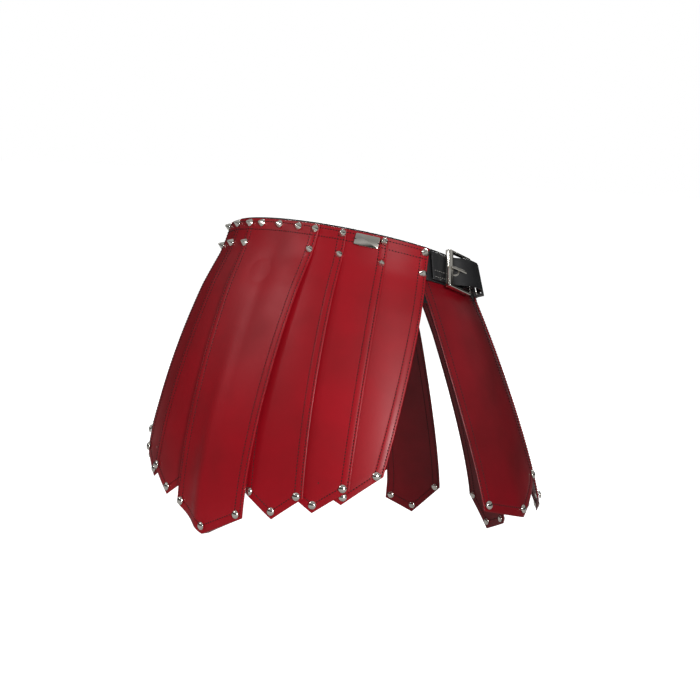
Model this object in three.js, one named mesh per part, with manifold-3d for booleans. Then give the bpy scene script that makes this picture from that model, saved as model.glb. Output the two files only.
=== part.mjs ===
// Studded leather strap skirt in two sections, closed at each hip by a belt buckle.
// Millimetres, +Z up. The origin is the centre of the waist ring, level with the middle of the hips'
// top edge. The wide centre panel faces -Y, the slit between the rear straps faces +Y, and the
// buckles are at +X and -X. Angles run round the waist from -Y towards +X.
import * as THREE from 'three';
import Module from 'manifold-3d';
import { mergeVertices } from 'three/addons/utils/BufferGeometryUtils.js';

// Waist ring, measured at the outer face of the belt leather along its top edge
const WAIST_A = 165;
const WAIST_B = 120;
const WAIST_SLOPE = 0.28;
const BELT_HEIGHT = 38;
const BELT_THICK = 2.6;
const BELT_CONE = 0.3;
const LEATHER = 1.6;
const GAP = 0.4;

// Straps: how each edge lifts over the next strap, the pointed end and the line where they hinge
const SHINGLE = 6.8;
const CENTRE_RAISE = 3;
const CENTRE_EDGE = 5;
const TIP_DROP = 27;
const HINGE_DEPTH = 40;
const ACROSS = 4;
const DOWN = 8;

// Strap heads sewn round the outside of each belt
const MAIN_END = 73;
const HEAD_THICK = 3.5;
const HEAD_TOP = 1.5;
const HEAD_BOTTOM = 37.6;
const REAR_START = 117;
const REAR_END = 178.6;
const REAR_BELT_FROM = 68;
const REAR_BELT_TO = 292;
const BELT_STEPS = 36;
const REAR_BELT_STEPS = 48;
const REAR_HEAD_STEPS = 14;
const BILLET_STEPS = 32;

// How each section falls: the depth where it stops widening, how early it swells, and how far
// its hem stands out from the waist
const MAIN_FALL = { reach: 350, bulge: 1.7, hemOut: 95 };
const REAR_FALL = { reach: 300, bulge: 1.25, hemOut: 110 };

// Main section, one entry for each rank away from the centre; the outer ranks come in pairs
const MAIN_STRAPS = [
  { name: 'centre', top: 0, hem: 0, topWidth: 118, hemWidth: 108, drop: 370, skew: 0, fall: MAIN_FALL },
  { name: '1', top: 18.5, hem: 22, topWidth: 80, hemWidth: 78, drop: 338, skew: 2, fall: MAIN_FALL },
  { name: '2', top: 36.5, hem: 34, topWidth: 80, hemWidth: 80, drop: 320, skew: 3, fall: MAIN_FALL },
  { name: '3', top: 55.5, hem: 42, topWidth: 80, hemWidth: 76, drop: 300, skew: 9, fall: MAIN_FALL },
];
const HIP_PANEL = {
  name: 'hip', top: 90, hem: 96.5, topWidth: 106, hemWidth: 134, drop: 298, skew: 14, fall: REAR_FALL,
};
const REAR_STRAPS = [
  { name: '1', top: 128.5, hem: 135, topWidth: 60, hemWidth: 72, drop: 300, skew: 4, fall: REAR_FALL },
  { name: '2', top: 147.5, hem: 149, topWidth: 74, hemWidth: 76, drop: 312, skew: 8, fall: REAR_FALL },
  { name: '3', top: 166, hem: 164.5, topWidth: 70, hemWidth: 80, drop: 338, skew: 12, fall: REAR_FALL },
];

// Cone studs on the strap heads
const STUD_R = 4.6;
const STUD_HEIGHT = 7;
const STUD_RIM = 1.6;
const STUD_POINT = 0.9;
const STUD_SIDES = 10;
const CENTRE_STUD_ANGLE = 10.5;
const STUD_ROW_1 = 7;
const STUD_ROW_2 = 31;
const STUD_INSET = 5;

// Name plate, left blank
const PLATE_WIDTH = 29;
const PLATE_HEIGHT = 14;
const PLATE_THICK = 1.4;
const PLATE_ANGLE = 42;
const PLATE_DEPTH = 10;

// Buckle, in the flat plane that touches the belt at BUCKLE_ANGLE
const BUCKLE_ANGLE = 89.5;
const FRAME_LONG = 44;
const FRAME_TALL = 46;
const BAR = 6;
const FRAME_LOW = 0.9;
const FRAME_THICK = 3.8;
const HINGE_X = FRAME_LONG / 2 - BAR / 2;
const HINGE_BAR = 2.6;
const RAIL = 2.8;
const CUT_DEEP = 9;
const BUCKLE_OUT = 3;
const PRONG_WIDTH = 4;
const PRONG_TOP = 4.6;
const PRONG_BEND = 12;
const CHAPE_CLEAR = 0.9;
const CHAPE_THICK = 1.8;
const CHAPE_TALL = 30;
const CHAPE_BACK = 18;
const CHAPE_FRONT = 7;
const CHAPE_UNDER = 0.6;
const SLOT_CLEAR = 0.6;

// Billet: the belt end that runs through the buckle and over its hinge bar
const BILLET_TALL = 32;
const BILLET_THICK = 2.4;
const BILLET_START = 73.6;
const BILLET_END = 115.5;
const BILLET_RISE_FROM = 83;
const BILLET_RISE_TO = 96;
const BILLET_RISE = 13;
const BILLET_FALL_FROM = 103.5;
const BILLET_FALL_TO = 108;
const BILLET_REST = 4;
const KEEPER_ANGLE = 111;
const KEEPER_OUT = 0.4;
const KEEPER_WIDE = 10;
const KEEPER_DEEP = 11;
const KEEPER_CLEAR = 1.6;
const KEEPER_WALL = 1.8;
const BILLET_HOLE_LONG = 22;
const BILLET_HOLE_SHIFT = 5.5;
const BILLET_HOLE_TALL = 7;

const RED = { color: 0xa01820, roughness: 0.42, metalness: 0 };
const BLACK = { color: 0x121212, roughness: 0.5, metalness: 0 };
const NICKEL = { color: 0xc9c5b8, roughness: 0.25, metalness: 1 };

const wasm = await Module();
wasm.setup();

const part = new THREE.Group();
const rad = THREE.MathUtils.degToRad;

function add(name, geometry, finish, parent = part) {
  const mesh = new THREE.Mesh(geometry, new THREE.MeshStandardMaterial(finish));
  mesh.name = name;
  parent.add(mesh);
  return mesh;
}

function toManifold(geometry) {
  const bare = geometry.clone();
  bare.deleteAttribute('normal');
  bare.deleteAttribute('uv');
  const merged = mergeVertices(bare, 1e-4);
  return new wasm.Manifold(new wasm.Mesh({
    numProp: 3,
    vertProperties: new Float32Array(merged.attributes.position.array),
    triVerts: new Uint32Array(merged.index.array),
  }));
}

function fromManifold(solid) {
  const mesh = solid.getMesh();
  const geometry = new THREE.BufferGeometry();
  geometry.setAttribute('position', new THREE.BufferAttribute(mesh.vertProperties, 3));
  geometry.setIndex(new THREE.BufferAttribute(mesh.triVerts, 1));
  geometry.computeVertexNormals();
  return geometry;
}

// Outward unit normal of the waist ellipse
function outward(angle) {
  const x = WAIST_B * Math.sin(angle);
  const y = -WAIST_A * Math.cos(angle);
  const length = Math.hypot(x, y);
  return [x / length, y / length];
}

// Arc length per radian on the ring that stands `out` beyond the waist
function arcRate(angle, out) {
  const square = (WAIST_A * Math.cos(angle)) ** 2 + (WAIST_B * Math.sin(angle)) ** 2;
  return Math.sqrt(square) + (out * WAIST_A * WAIST_B) / square;
}

function ringPoint(angle, out, z) {
  const [nx, ny] = outward(angle);
  return new THREE.Vector3(WAIST_A * Math.sin(angle) + nx * out, -WAIST_B * Math.cos(angle) + ny * out, z);
}

// Height of the belt's top edge, which slopes down from the centre panel to the rear slit
function topEdge(angle) {
  return WAIST_SLOPE * WAIST_B * Math.cos(angle);
}

// Closed sheet from a grid of outer points and a grid of inner points
function sheet(columns, rows, outer, inner) {
  const position = [];
  const index = [];
  for (const side of [outer, inner]) {
    for (let i = 0; i <= columns; i++) {
      for (let j = 0; j <= rows; j++) {
        const p = side(i / columns, j / rows);
        position.push(p.x, p.y, p.z);
      }
    }
  }
  const size = (columns + 1) * (rows + 1);
  const at = (i, j, layer) => layer * size + i * (rows + 1) + j;
  const quad = (a, b, c, d) => index.push(a, b, c, a, c, d);
  for (let i = 0; i < columns; i++) {
    for (let j = 0; j < rows; j++) {
      quad(at(i, j, 0), at(i, j + 1, 0), at(i + 1, j + 1, 0), at(i + 1, j, 0));
      quad(at(i, j, 1), at(i + 1, j, 1), at(i + 1, j + 1, 1), at(i, j + 1, 1));
    }
    quad(at(i, 0, 0), at(i + 1, 0, 0), at(i + 1, 0, 1), at(i, 0, 1));
    quad(at(i, rows, 0), at(i, rows, 1), at(i + 1, rows, 1), at(i + 1, rows, 0));
  }
  for (let j = 0; j < rows; j++) {
    quad(at(0, j, 0), at(0, j, 1), at(0, j + 1, 1), at(0, j + 1, 0));
    quad(at(columns, j, 0), at(columns, j + 1, 0), at(columns, j + 1, 1), at(columns, j, 1));
  }
  const geometry = new THREE.BufferGeometry();
  geometry.setAttribute('position', new THREE.Float32BufferAttribute(position, 3));
  geometry.setIndex(index);
  geometry.computeVertexNormals();
  return geometry;
}

// Band of leather round the waist, from one angle to another and between two depths
function band(from, to, low, thick, top, bottom, columns, rise = () => 0) {
  const face = (lift) => (u, v) => {
    const angle = rad(from + (to - from) * u);
    const depth = top + (bottom - top) * v;
    const out = low + lift + rise(angle) + BELT_CONE * depth;
    return ringPoint(angle, out, topEdge(angle) - depth + BELT_CONE * rise(angle));
  };
  return sheet(columns, 1, face(thick), face(0));
}

// Distance that a strap stands out from the waist at a given depth
function flare(strap, depth) {
  const { reach, bulge, hemOut } = strap.fall;
  const run = THREE.MathUtils.clamp((depth - HINGE_DEPTH) / (reach - HINGE_DEPTH), 0, 1);
  const start = BELT_CONE * Math.min(depth, HINGE_DEPTH);
  return start + (hemOut - BELT_CONE * HINGE_DEPTH) * (1 - (1 - run) ** bulge);
}

// Angle of a strap across its width, u from 0 to 1, at a given depth
function strapAngle(strap, side, u, depth) {
  const share = depth / strap.drop;
  const centre = rad(side * (strap.top + (strap.hem - strap.top) * share));
  const width = strap.topWidth + (strap.hemWidth - strap.topWidth) * share;
  return centre + ((u - 0.5) * width) / arcRate(centre, flare(strap, depth));
}

// Point on a strap; `raised` says how far the strap stands off the one beneath, from u
function strapPoint(strap, side, u, depth, raised, lift) {
  const share = depth / strap.drop;
  const angle = strapAngle(strap, side, u, depth);
  const edge = topEdge(strapAngle(strap, side, u, 0));
  const middle = topEdge(rad(side * strap.top));
  const out = flare(strap, depth) + raised(u) + lift;
  return ringPoint(angle, out, edge * (1 - share) + middle * share - depth);
}

function strapSheet(strap, side, raised) {
  const face = (lift) => (u, v) => {
    const across = 2 * u - 1;
    const bottom = strap.drop - TIP_DROP * Math.abs(across) - strap.skew * side * across;
    return strapPoint(strap, side, u, HINGE_DEPTH + (bottom - HINGE_DEPTH) * v, raised, lift);
  };
  return sheet(ACROSS, DOWN, face(LEATHER), face(0));
}

// The centre panel lies over both neighbours, and every other strap over the next one out
const overBoth = (u) => GAP + CENTRE_RAISE + CENTRE_EDGE * Math.abs(2 * u - 1);
const overNext = (side) => (u) => GAP + SHINGLE * (side > 0 ? u : 1 - u);
const overPrevious = (side) => (u) => GAP - BELT_THICK + SHINGLE * (side > 0 ? u : 1 - u);
const flatUnder = () => -BELT_THICK - GAP - LEATHER;

// Main section
add('main_belt', band(-MAIN_END, MAIN_END, -BELT_THICK, BELT_THICK, 0, BELT_HEIGHT, BELT_STEPS), BLACK);
const mainHeads = band(-MAIN_END, MAIN_END, GAP, HEAD_THICK, HEAD_TOP, HEAD_BOTTOM, BELT_STEPS);
add('main_strap_heads', mainHeads, RED);
const [centre, ...mainPairs] = MAIN_STRAPS;
add('main_strap_centre', strapSheet(centre, 1, overBoth), RED);
for (const [label, side] of [['right', 1], ['left', -1]]) {
  for (const strap of mainPairs) {
    add(`main_strap_${label}_${strap.name}`, strapSheet(strap, side, overNext(side)), RED);
  }
  add(`hip_panel_${label}`, strapSheet(HIP_PANEL, side, flatUnder), RED);
}

// Rear section, whose belt runs inside the ends of the main belt
const rearLow = -2 * BELT_THICK - GAP;
const rearBelt = band(REAR_BELT_FROM, REAR_BELT_TO, rearLow, BELT_THICK, 0, BELT_HEIGHT, REAR_BELT_STEPS);
add('rear_belt', rearBelt, BLACK);
for (const [label, side] of [['right', 1], ['left', -1]]) {
  const from = side * REAR_START;
  const to = side * REAR_END;
  const heads = band(from, to, -BELT_THICK, HEAD_THICK, HEAD_TOP, HEAD_BOTTOM, REAR_HEAD_STEPS);
  if (side < 0) {
    heads.index.array.reverse();
    heads.computeVertexNormals();
  }
  add(`rear_strap_heads_${label}`, heads, RED);
  for (const strap of REAR_STRAPS) {
    add(`rear_strap_${label}_${strap.name}`, strapSheet(strap, side, overPrevious(side)), RED);
  }
}

// Frame of reference on the outside of the belt: X along the belt towards larger angles, Y up, Z out
function place(object, angle, out, depth) {
  const [nx, ny] = outward(angle);
  const along = new THREE.Vector3(-ny, nx, -nx * WAIST_SLOPE).normalize();
  const steep = new THREE.Vector3(-nx * BELT_CONE, -ny * BELT_CONE, 1);
  const away = new THREE.Vector3().crossVectors(along, steep).normalize();
  const up = new THREE.Vector3().crossVectors(away, along);
  object.quaternion.setFromRotationMatrix(new THREE.Matrix4().makeBasis(along, up, away));
  object.position.copy(ringPoint(angle, out + BELT_CONE * depth, topEdge(angle) - depth));
  return object;
}

// Cone studs: first row at the top of the heads, second row at the strap seams only
const studProfile = [
  new THREE.Vector2(0, 0),
  new THREE.Vector2(STUD_R, 0),
  new THREE.Vector2(STUD_R, STUD_RIM),
  new THREE.Vector2(STUD_POINT, STUD_HEIGHT - GAP),
  new THREE.Vector2(0, STUD_HEIGHT),
];
const studShape = new THREE.LatheGeometry(studProfile, STUD_SIDES);
studShape.rotateX(Math.PI / 2);
const studLift = GAP + HEAD_THICK + GAP;

function seamAngle(strap, side, depth) {
  const width = strap.topWidth;
  return strapAngle(strap, side, side > 0 ? 1 - STUD_INSET / width : STUD_INSET / width, depth);
}

function addStud(name, angle, depth) {
  place(add(name, studShape.clone(), NICKEL), angle, studLift, depth);
}

for (const [index, angle] of [-CENTRE_STUD_ANGLE, 0, CENTRE_STUD_ANGLE].entries()) {
  addStud(`waist_stud_centre_${index + 1}`, rad(angle), STUD_ROW_1);
}
for (const [label, side] of [['right', 1], ['left', -1]]) {
  for (const strap of MAIN_STRAPS) {
    addStud(`waist_stud_upper_${label}_${strap.name}`, seamAngle(strap, side, STUD_ROW_1), STUD_ROW_1);
    addStud(`waist_stud_lower_${label}_${strap.name}`, seamAngle(strap, side, STUD_ROW_2), STUD_ROW_2);
  }
}

const plateShape = new THREE.BoxGeometry(PLATE_WIDTH, PLATE_HEIGHT, PLATE_THICK);
const plate = add('name_plate', plateShape, NICKEL);
place(plate, rad(PLATE_ANGLE), studLift + 2 * PLATE_THICK, PLATE_DEPTH);

// Buckle, chape, prong, keeper and billet at each hip; the left side mirrors the right
function boxSolid(x0, x1, y0, y1, z0, z1) {
  const box = new THREE.BoxGeometry(x1 - x0, y1 - y0, z1 - z0);
  box.translate((x0 + x1) / 2, (y0 + y1) / 2, (z0 + z1) / 2);
  return toManifold(box);
}

function frameGeometry(forward) {
  const half = FRAME_LONG / 2;
  const high = FRAME_TALL / 2;
  const outer = boxSolid(-half, half, -high, high, FRAME_LOW, FRAME_LOW + FRAME_THICK);
  const front = half - BAR;
  const rear = HINGE_X - HINGE_BAR / 2;
  const past = HINGE_X + HINGE_BAR / 2;
  const hole = forward > 0
    ? boxSolid(-front, rear, RAIL - high, high - RAIL, -CUT_DEEP, CUT_DEEP)
    : boxSolid(-rear, front, RAIL - high, high - RAIL, -CUT_DEEP, CUT_DEEP);
  const behind = forward > 0
    ? boxSolid(past, half + 1, RAIL - high, high - RAIL, -CUT_DEEP, CUT_DEEP)
    : boxSolid(-half - 1, -past, RAIL - high, high - RAIL, -CUT_DEEP, CUT_DEEP);
  return fromManifold(outer.subtract(hole).subtract(behind));
}

function extrudeUp(points, tall) {
  const shape = new THREE.Shape(points.map(([x, z]) => new THREE.Vector2(x, -z)));
  const geometry = new THREE.ExtrudeGeometry(shape, { depth: tall, bevelEnabled: false });
  geometry.translate(0, 0, -tall / 2);
  geometry.rotateX(-Math.PI / 2);
  return geometry;
}

function prongGeometry(forward) {
  const over = FRAME_LOW + FRAME_THICK + GAP;
  const tip = -FRAME_LONG / 2 - 1;
  const heel = HINGE_X + BAR / 2 + GAP;
  const neck = HINGE_X - BAR;
  const points = [
    [heel, over],
    [heel, over + PRONG_TOP / 2],
    [neck, over + PRONG_TOP - CHAPE_THICK],
    [2, over + PRONG_TOP],
    [-PRONG_BEND, over + PRONG_TOP - 1],
    [tip, over + CHAPE_THICK],
    [tip, over + GAP / 2],
    [-PRONG_BEND, over + GAP],
    [2, over + CHAPE_THICK],
    [neck, over],
  ];
  return extrudeUp(points.map(([x, z]) => [forward * x, z]), PRONG_WIDTH);
}

function chapeGeometry(forward) {
  const x = HINGE_X - HINGE_BAR / 2 - CHAPE_CLEAR;
  const top = FRAME_LOW + FRAME_THICK + CHAPE_CLEAR;
  const low = -CHAPE_UNDER - CHAPE_THICK;
  const points = [
    [x + CHAPE_BACK, low],
    [x - CHAPE_THICK, low],
    [x - CHAPE_THICK, top + CHAPE_THICK],
    [x + CHAPE_FRONT, top + CHAPE_THICK],
    [x + CHAPE_FRONT, top],
    [x, top],
    [x, -CHAPE_UNDER],
    [x + CHAPE_BACK, -CHAPE_UNDER],
  ];
  const loop = toManifold(extrudeUp(points.map(([px, pz]) => [forward * px, pz]), CHAPE_TALL));
  const slotHalf = PRONG_WIDTH / 2 + SLOT_CLEAR;
  const slot = boxSolid(-FRAME_LONG, FRAME_LONG, -slotHalf, slotHalf, -1, FRAME_LONG);
  return fromManifold(loop.subtract(slot));
}

for (const [label, side] of [['right', 1], ['left', -1]]) {
  const hip = rad(side * BUCKLE_ANGLE);
  place(add(`buckle_frame_${label}`, frameGeometry(side), NICKEL), hip, BUCKLE_OUT, BELT_HEIGHT / 2);
  place(add(`buckle_prong_${label}`, prongGeometry(side), NICKEL), hip, BUCKLE_OUT, BELT_HEIGHT / 2);
  place(add(`buckle_chape_${label}`, chapeGeometry(side), BLACK), hip, BUCKLE_OUT, BELT_HEIGHT / 2);
}

// Billet: starts at the end of the main belt, climbs inside the frame, passes over the chape and
// comes back down to the belt inside the keeper
function billetRise(angle) {
  const degrees = Math.abs(THREE.MathUtils.radToDeg(angle));
  const share = (from, to) => THREE.MathUtils.clamp((degrees - from) / (to - from), 0, 1);
  const climb = BILLET_RISE * share(BILLET_RISE_FROM, BILLET_RISE_TO);
  return climb - (BILLET_RISE - BILLET_REST) * share(BILLET_FALL_FROM, BILLET_FALL_TO);
}

function billetGeometry(side) {
  const top = (BELT_HEIGHT - BILLET_TALL) / 2;
  const from = side * BILLET_START;
  const to = side * BILLET_END;
  const geometry = band(from, to, GAP, BILLET_THICK, top, top + BILLET_TALL, BILLET_STEPS, billetRise);
  if (side < 0) {
    geometry.index.array.reverse();
  }
  const hole = new THREE.BoxGeometry(BILLET_HOLE_LONG, BILLET_HOLE_TALL, FRAME_LONG);
  const holder = place(new THREE.Object3D(), rad(side * BUCKLE_ANGLE), BUCKLE_OUT, BELT_HEIGHT / 2);
  hole.translate(side * BILLET_HOLE_SHIFT, 0, 0);
  holder.updateMatrix();
  hole.applyMatrix4(holder.matrix);
  return fromManifold(toManifold(geometry).subtract(toManifold(hole)));
}

// Keeper: a leather loop round the billet, its back strip between the billet and the rear belt
function keeperGeometry() {
  const tall = BILLET_TALL / 2 + KEEPER_CLEAR;
  const wall = KEEPER_WALL;
  const outer = boxSolid(-KEEPER_WIDE / 2, KEEPER_WIDE / 2, -tall - wall, tall + wall, 0, KEEPER_DEEP);
  const inner = boxSolid(-KEEPER_WIDE, KEEPER_WIDE, -tall, tall, wall, KEEPER_DEEP - wall);
  return fromManifold(outer.subtract(inner));
}

for (const [label, side] of [['right', 1], ['left', -1]]) {
  add(`billet_${label}`, billetGeometry(side), BLACK);
  const spot = rad(side * KEEPER_ANGLE);
  place(add(`keeper_${label}`, keeperGeometry(), BLACK), spot, KEEPER_OUT, BELT_HEIGHT / 2);
}

export default part;
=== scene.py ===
"""Studded strap skirt: leather straps, cone studs, belts and buckles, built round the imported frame."""

import enum
import logging
import math
from dataclasses import dataclass, field
from typing import Callable, Iterable, Sequence

import bpy
from mathutils import Matrix, Vector


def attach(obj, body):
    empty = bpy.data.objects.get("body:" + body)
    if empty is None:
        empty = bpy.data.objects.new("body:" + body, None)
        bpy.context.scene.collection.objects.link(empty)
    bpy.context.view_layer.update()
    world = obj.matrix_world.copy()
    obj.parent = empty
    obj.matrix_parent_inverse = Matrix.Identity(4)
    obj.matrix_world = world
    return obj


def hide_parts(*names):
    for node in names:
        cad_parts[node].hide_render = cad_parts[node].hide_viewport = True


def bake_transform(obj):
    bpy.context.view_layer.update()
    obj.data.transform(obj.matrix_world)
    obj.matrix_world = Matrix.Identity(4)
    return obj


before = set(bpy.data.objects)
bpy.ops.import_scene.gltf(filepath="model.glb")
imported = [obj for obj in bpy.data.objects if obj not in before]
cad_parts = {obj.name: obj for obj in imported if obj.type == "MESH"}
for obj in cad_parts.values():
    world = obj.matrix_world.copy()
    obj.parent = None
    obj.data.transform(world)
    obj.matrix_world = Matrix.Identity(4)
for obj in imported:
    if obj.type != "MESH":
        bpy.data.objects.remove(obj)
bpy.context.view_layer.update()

LOG = logging.getLogger("strap_skirt")
MM = 0.001
SIDES = {"right": 1, "left": -1}


# ---------------------------------------------------------------- finishes


class Slot(enum.Enum):
    """The record's material slots."""

    RED = "red_leather"
    BLACK = "black_leather"
    NICKEL = "nickel"


def node_group(name: str, inputs: dict[str, object], outputs: dict[str, str]) -> bpy.types.NodeTree:
    """Starts a shader node group.

    Args:
        name: the group's name.
        inputs: socket name to its default, a number or a colour; a name of "Vector" has no default.
        outputs: socket name to its type, "Float" or "Color".

    Returns:
        The empty group, with its input and output nodes in place.
    """
    tree = bpy.data.node_groups.new(name, "ShaderNodeTree")
    for key, value in inputs.items():
        kind = "Vector" if key == "Vector" else "Color" if isinstance(value, tuple) else "Float"
        socket = tree.interface.new_socket(key, in_out="INPUT", socket_type=f"NodeSocket{kind}")
        if value is not None:
            socket.default_value = value
    for key, kind in outputs.items():
        tree.interface.new_socket(key, in_out="OUTPUT", socket_type=f"NodeSocket{kind}")
    tree.nodes.new("NodeGroupInput").name = "In"
    tree.nodes.new("NodeGroupOutput").name = "Out"
    return tree


def grain_group() -> bpy.types.NodeTree:
    """Fine pebbled leather grain: cell creases broken up by noise.

    Returns:
        A group whose Height drives a bump.
    """
    tree = node_group("leather_grain", {"Vector": None, "Scale": 900.0}, {"Height": "Float"})
    nodes, links = tree.nodes, tree.links
    cells = nodes.new("ShaderNodeTexVoronoi")
    cells.feature = "SMOOTH_F1"
    noise = nodes.new("ShaderNodeTexNoise")
    noise.inputs["Detail"].default_value = 4.0
    half = nodes.new("ShaderNodeMath")
    half.operation = "MULTIPLY"
    half.inputs[1].default_value = 0.12
    blend = nodes.new("ShaderNodeMath")
    blend.operation = "MULTIPLY_ADD"
    blend.inputs[1].default_value = 0.6
    links.new(nodes["In"].outputs["Vector"], cells.inputs["Vector"])
    links.new(nodes["In"].outputs["Vector"], noise.inputs["Vector"])
    links.new(nodes["In"].outputs["Scale"], cells.inputs["Scale"])
    links.new(nodes["In"].outputs["Scale"], half.inputs[0])
    links.new(half.outputs[0], noise.inputs["Scale"])
    links.new(cells.outputs["Distance"], blend.inputs[0])
    links.new(noise.outputs["Fac"], blend.inputs[2])
    links.new(blend.outputs[0], nodes["Out"].inputs["Height"])
    return tree


def tone_group() -> bpy.types.NodeTree:
    """Slow drift between two colours, with the matching mask.

    Returns:
        A group with a Color and a Mask that change over the surface.
    """
    base = (0.5, 0.5, 0.5, 1.0)
    tree = node_group(
        "tone_drift",
        {"Vector": None, "Scale": 14.0, "Light": base, "Deep": base},
        {"Color": "Color", "Mask": "Float"},
    )
    nodes, links = tree.nodes, tree.links
    noise = nodes.new("ShaderNodeTexNoise")
    noise.inputs["Detail"].default_value = 3.0
    ramp = nodes.new("ShaderNodeMapRange")
    ramp.inputs["From Min"].default_value = 0.35
    ramp.inputs["From Max"].default_value = 0.68
    mix = nodes.new("ShaderNodeMix")
    mix.data_type = "RGBA"
    links.new(nodes["In"].outputs["Vector"], noise.inputs["Vector"])
    links.new(nodes["In"].outputs["Scale"], noise.inputs["Scale"])
    links.new(noise.outputs["Fac"], ramp.inputs["Value"])
    links.new(ramp.outputs["Result"], mix.inputs["Factor"])
    links.new(nodes["In"].outputs["Light"], mix.inputs["A"])
    links.new(nodes["In"].outputs["Deep"], mix.inputs["B"])
    links.new(mix.outputs["Result"], nodes["Out"].inputs["Color"])
    links.new(ramp.outputs["Result"], nodes["Out"].inputs["Mask"])
    return tree


GRAIN = grain_group()
TONE = tone_group()


@dataclass(frozen=True)
class Finish:
    """A surface finish with drifting tone, grain and a varying roughness."""

    name: str
    light: tuple[float, float, float, float]
    deep: tuple[float, float, float, float]
    rough: tuple[float, float]
    metallic: float = 0.0
    grain_scale: float = 900.0
    grain_depth: float = 0.00004
    tone_scale: float = 14.0
    specular: float = 0.5

    def material(self) -> bpy.types.Material:
        """Builds the finish's material, once.

        Returns:
            The material, shared by every piece with this finish.
        """
        found = bpy.data.materials.get(self.name)
        if found:
            return found
        made = bpy.data.materials.new(self.name)
        made.use_nodes = True
        nodes, links = made.node_tree.nodes, made.node_tree.links
        shader = nodes["Principled BSDF"]
        shader.inputs["Metallic"].default_value = self.metallic
        shader.inputs["Specular IOR Level"].default_value = self.specular
        where = nodes.new("ShaderNodeTexCoord")
        tone = nodes.new("ShaderNodeGroup")
        tone.node_tree = TONE
        tone.inputs["Scale"].default_value = self.tone_scale
        tone.inputs["Light"].default_value = self.light
        tone.inputs["Deep"].default_value = self.deep
        grain = nodes.new("ShaderNodeGroup")
        grain.node_tree = GRAIN
        grain.inputs["Scale"].default_value = self.grain_scale
        rough = nodes.new("ShaderNodeMapRange")
        rough.inputs["To Min"].default_value = self.rough[0]
        rough.inputs["To Max"].default_value = self.rough[1]
        bump = nodes.new("ShaderNodeBump")
        bump.inputs["Distance"].default_value = self.grain_depth
        links.new(where.outputs["Object"], tone.inputs["Vector"])
        links.new(where.outputs["Object"], grain.inputs["Vector"])
        links.new(tone.outputs["Color"], shader.inputs["Base Color"])
        links.new(tone.outputs["Mask"], rough.inputs["Value"])
        links.new(rough.outputs["Result"], shader.inputs["Roughness"])
        links.new(grain.outputs["Height"], bump.inputs["Height"])
        links.new(bump.outputs["Normal"], shader.inputs["Normal"])
        return made

    def dress(self, piece: bpy.types.Object, slot: Slot | None = None) -> None:
        """Puts the finish on a piece.

        Args:
            piece: the object.
            slot: the record's slot; not used.
        """
        piece.data.materials.clear()
        piece.data.materials.append(self.material())


RED_LEATHER = Finish("red_coated_leather", (0.34, 0.004, 0.011, 1), (0.265, 0.003, 0.008, 1), (0.36, 0.44),
                     specular=0.28)
# The same red leather with painted shade, darker for the hip panels and rear straps that sit in shade.
RED_LEATHER_PAINTED_SHADE = Finish("red_coated_leather_painted_shade", (0.20, 0.003, 0.008, 1), (0.135, 0.002, 0.005, 1),
                          (0.34, 0.42), specular=0.3)
BLACK_LEATHER = Finish("black_belt_leather", (0.014, 0.014, 0.015, 1), (0.006, 0.006, 0.007, 1), (0.32, 0.5),
                       grain_depth=0.00007)
NICKEL = Finish("bright_nickel", (0.88, 0.85, 0.78, 1), (0.74, 0.71, 0.64, 1), (0.08, 0.17), metallic=1.0,
                grain_scale=400.0, grain_depth=0.00001, tone_scale=60.0)
# Dark red thread, darkened to near black with painted shade for the shadow in the stitch grooves.
THREAD_PAINTED_SHADE = Finish("dark_red_thread_painted_shade", (0.016, 0.002, 0.003, 1), (0.006, 0.001, 0.002, 1), (0.7, 0.85),
                     grain_scale=4000.0, tone_scale=200.0)
PALE_THREAD = Finish("pale_thread", (0.42, 0.40, 0.36, 1), (0.25, 0.24, 0.22, 1), (0.6, 0.8),
                     grain_scale=4000.0, tone_scale=200.0)


# ---------------------------------------------------------------- shared geometry


@dataclass(frozen=True)
class WaistRing:
    """The ellipse of the belt's top edge and the cone that the belt follows, in metres."""

    a: float = 165 * MM
    b: float = 120 * MM
    slope: float = 0.28
    cone: float = 0.3
    belt_height: float = 38 * MM
    belt_thick: float = 2.6 * MM

    def outward(self, angle: float) -> Vector:
        """The level outward normal at an angle."""
        return Vector((self.b * math.sin(angle), -self.a * math.cos(angle), 0)).normalized()

    def top(self, angle: float) -> float:
        """Height of the belt's top edge."""
        return self.slope * self.b * math.cos(angle)

    def point(self, angle: float, out: float, z: float) -> Vector:
        """A point that stands out from the waist, at a height."""
        base = Vector((self.a * math.sin(angle), -self.b * math.cos(angle), z))
        return base + self.outward(angle) * out

    def rate(self, angle: float, out: float) -> float:
        """Arc length per radian on the ring that stands out beyond the waist."""
        square = (self.a * math.cos(angle)) ** 2 + (self.b * math.sin(angle)) ** 2
        return math.sqrt(square) + out * self.a * self.b / square

    def seat(self, angle: float, out: float, depth: float) -> Matrix:
        """A flat seat on the belt: X along it, Y up, Z out.

        Args:
            angle: where on the ring, in radians.
            out: distance out from the belt's face.
            depth: distance below the top edge.

        Returns:
            The seat's matrix.
        """
        normal = self.outward(angle)
        along = Vector((-normal.y, normal.x, -normal.x * self.slope)).normalized()
        steep = Vector((-normal.x * self.cone, -normal.y * self.cone, 1))
        away = along.cross(steep).normalized()
        up = away.cross(along)
        made = Matrix((along, up, away)).transposed().to_4x4()
        made.translation = self.point(angle, out + self.cone * depth, self.top(angle) - depth)
        return made


RING = WaistRing()


def new_piece(name: str, vertices: Sequence[Vector], faces: Sequence[Sequence[int]]) -> bpy.types.Object:
    """Makes an object from a mesh.

    Args:
        name: the piece's name.
        vertices: points in the row frame.
        faces: index lists, facing out.

    Returns:
        The linked object.
    """
    mesh = bpy.data.meshes.new(name)
    mesh.from_pydata([tuple(v) for v in vertices], [], faces)
    mesh.validate()
    made = bpy.data.objects.new(name, mesh)
    bpy.context.scene.collection.objects.link(made)
    return made


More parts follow.
